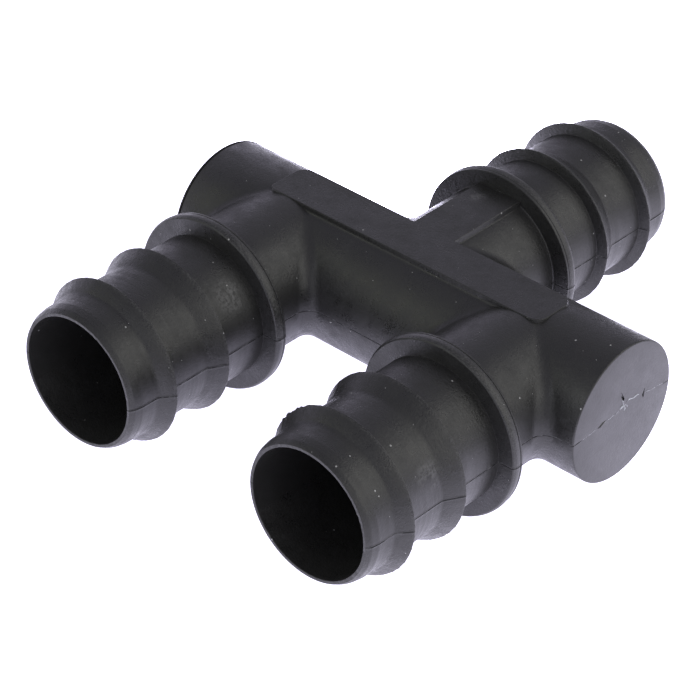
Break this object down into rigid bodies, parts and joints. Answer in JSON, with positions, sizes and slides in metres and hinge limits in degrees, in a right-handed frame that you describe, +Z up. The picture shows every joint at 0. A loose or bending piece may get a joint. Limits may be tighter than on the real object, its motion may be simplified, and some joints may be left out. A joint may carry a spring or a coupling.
{
  "type": "barbed tee connector",
  "caption": "Black plastic hose header: a closed crossbar with parallel barbed spigots on one side and a barbed spigot on the other, each with a stop collar.",
  "frame": {"origin": "on the ground under the middle of the crossbar, where the rear spigot's axis crosses it; the part rests on the rims of its stop collars", "axes": "+X along the crossbar from the plugged end to the blind end, +Y out of the rear spigot's mouth, +Z up, away from the ground and out of the flat strip"},
  "size_m": [0.0874, 0.1072, 0.0316],
  "materials": {
    "moulding": "satin black polypropylene, fine mould grain",
    "plug": "satin black polypropylene, a little duller"
  },
  "bodies": {
    "root": {"header_pipe": "moulding", "front_left_stop_collar": "moulding", "front_left_barbed_tube": "moulding", "front_right_stop_collar": "moulding", "front_right_barbed_tube": "moulding", "rear_stop_collar": "moulding", "rear_barbed_tube": "moulding", "end_plug": "plug"}
  },
  "joints": []
}
